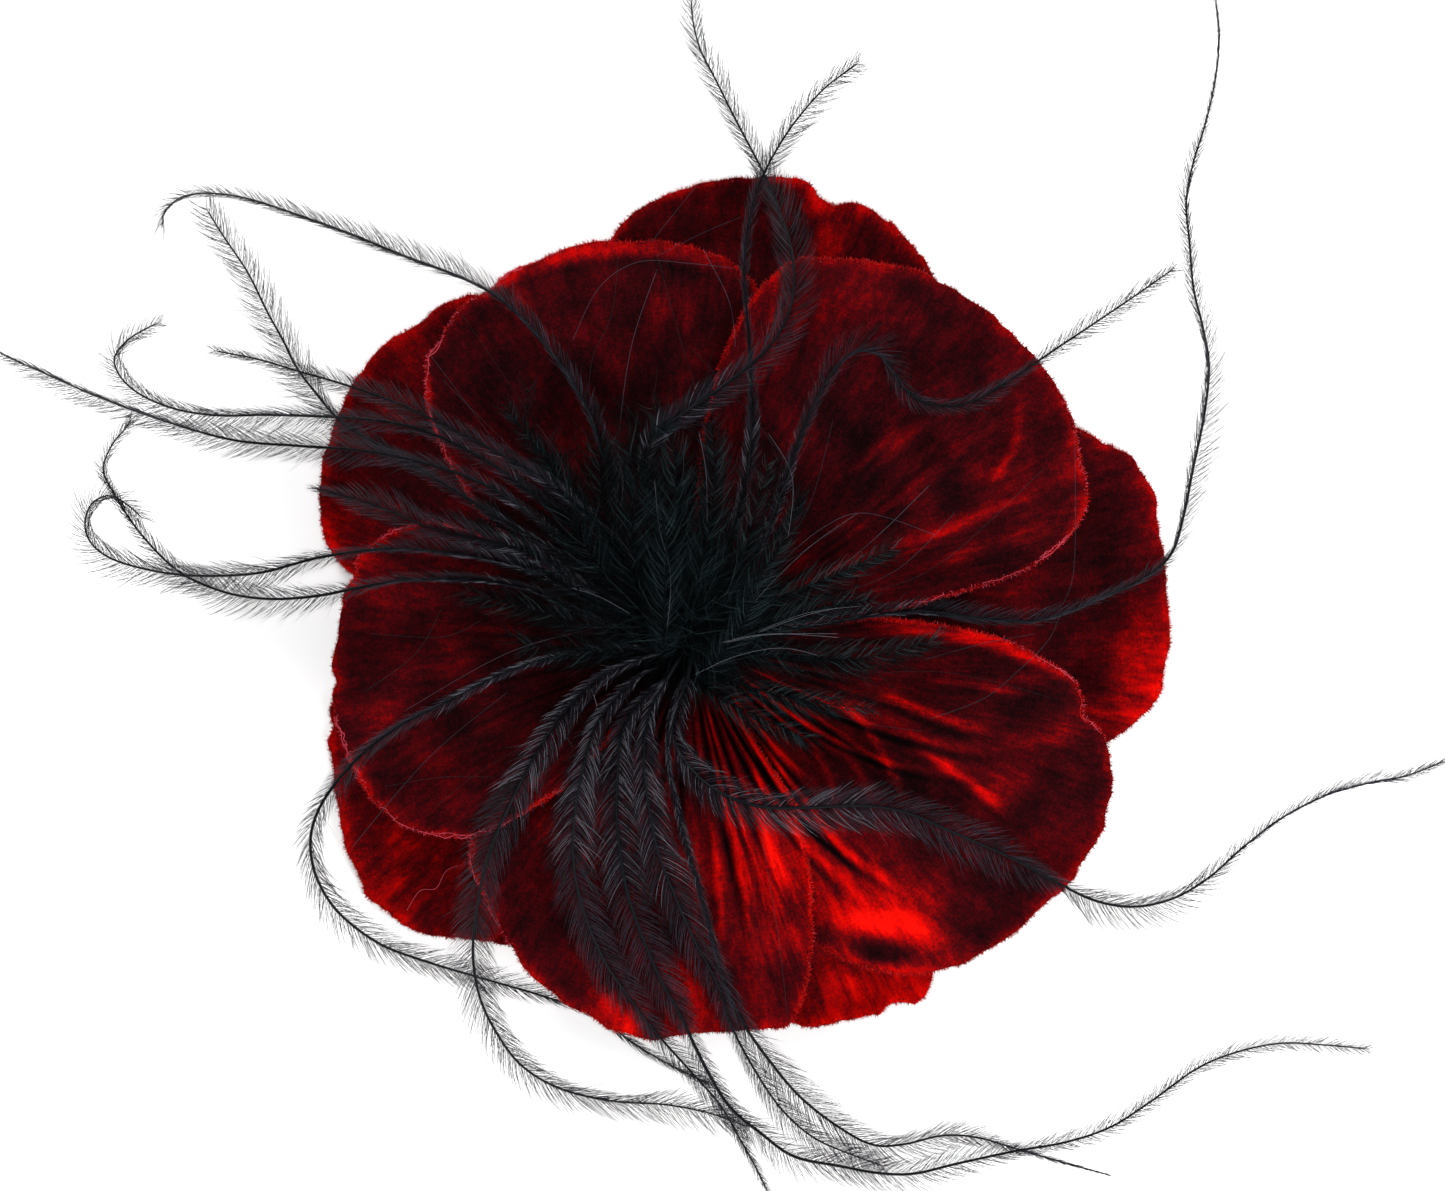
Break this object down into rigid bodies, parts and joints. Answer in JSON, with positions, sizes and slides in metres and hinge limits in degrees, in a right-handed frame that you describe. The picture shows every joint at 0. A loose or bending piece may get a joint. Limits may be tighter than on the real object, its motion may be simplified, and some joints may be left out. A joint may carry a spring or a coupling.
{
  "type": "velvet flower fascinator",
  "caption": "Gathered velvet flower with curling feather tendrils and a down centre, on a felt back with a sprung alligator clip and a brooch pin.",
  "frame": {"origin": "on the flower's hub axis, in the plane that the flower lies on, at the flat underside of the clip's sprung jaw", "axes": "+Z out of the flower's face, +X along the clip from its jaw tip to its lever and along the feathers' longest spread, +Y towards the two upright feathers"},
  "size_m": [0.222, 0.1838, 0.044],
  "materials": {
    "velvet_front": "crushed velvet pile, deep red",
    "velvet_back": "crushed velvet pile, deep red",
    "felt": "matte felt, black",
    "buckram": "stiffened open weave",
    "glue": "cloudy hot-melt glue",
    "plate_steel": "bright nickel-plated steel",
    "clip_steel": "bright nickel-plated steel",
    "spring_steel": "drawn spring wire",
    "brooch_steel": "bright nickel-plated steel",
    "needle_steel": "polished wire",
    "sleeve_brass": "nickel-plated brass",
    "feather_black": "natural feather, blue-black",
    "down": "loose down, green-black",
    "thread": "waxed sewing thread",
    "quill": "dyed horn-like quill"
  },
  "bodies": {
    "flower": {"back_petal_1": "velvet_back", "back_petal_2": "velvet_back", "back_petal_3": "velvet_back", "back_petal_4": "velvet_back", "back_petal_5": "velvet_back", "base_plate": "plate_steel", "brooch_bar": "brooch_steel", "buckram_disc": "buckram", "clip_pin": "spring_steel", "clip_rivet_back": "clip_steel", "clip_rivet_front": "clip_steel", "clip_spring": "spring_steel", "clip_upper_jaw": "clip_steel", "down_tuft": "down", "feather_01": "feather_black", "feather_02": "feather_black", "feather_03": "feather_black", "feather_04": "feather_black", "feather_05": "feather_black", "feather_06": "feather_black", "feather_07": "feather_black", "feather_08": "feather_black", "feather_09": "feather_black", "feather_10": "feather_black", "feather_11": "feather_black", "feather_12": "feather_black", "feather_13": "feather_black", "feather_14": "feather_black", "feather_15": "feather_black", "feather_16": "feather_black", "feather_17": "feather_black", "feather_18": "feather_black", "feather_19": "feather_black", "felt_backing": "felt", "front_petal_1": "velvet_front", "front_petal_2": "velvet_front", "front_petal_3": "velvet_front", "front_petal_4": "velvet_front", "front_petal_5": "velvet_front", "glue_plug": "glue", "hinge_bracket": "brooch_steel", "hinge_rivet": "brooch_steel", "pin_catch": "brooch_steel", "thread_binding": "thread", "tuft_quill": "quill"},
    "clip_jaw": {"clip_lower_jaw": "clip_steel"},
    "needle": {"brooch_needle": "needle_steel"},
    "sleeve": {"catch_sleeve": "sleeve_brass"}
  },
  "joints": [
    {"name": "clip_hinge", "type": "hinge", "parent": "flower", "child": "clip_jaw", "pos_m": [0.002, 0, 0.0042], "axis": [0, -1, 0], "range_deg": [0, 20], "stiffness_Nm_per_rad": 0.12, "springref_deg": -17.19, "deforming": ["clip_spring"]},
    {"name": "needle_hinge", "type": "hinge", "parent": "flower", "child": "needle", "pos_m": [0.0124, 0.0095, 0.0056], "axis": [0, -1, 0], "range_deg": [0, 80]},
    {"name": "sleeve_turn", "type": "hinge", "parent": "flower", "child": "sleeve", "pos_m": [-0.012, 0.0095, 0.0056], "axis": [-1, 0, 0], "range_deg": [0, 150]}
  ]
}
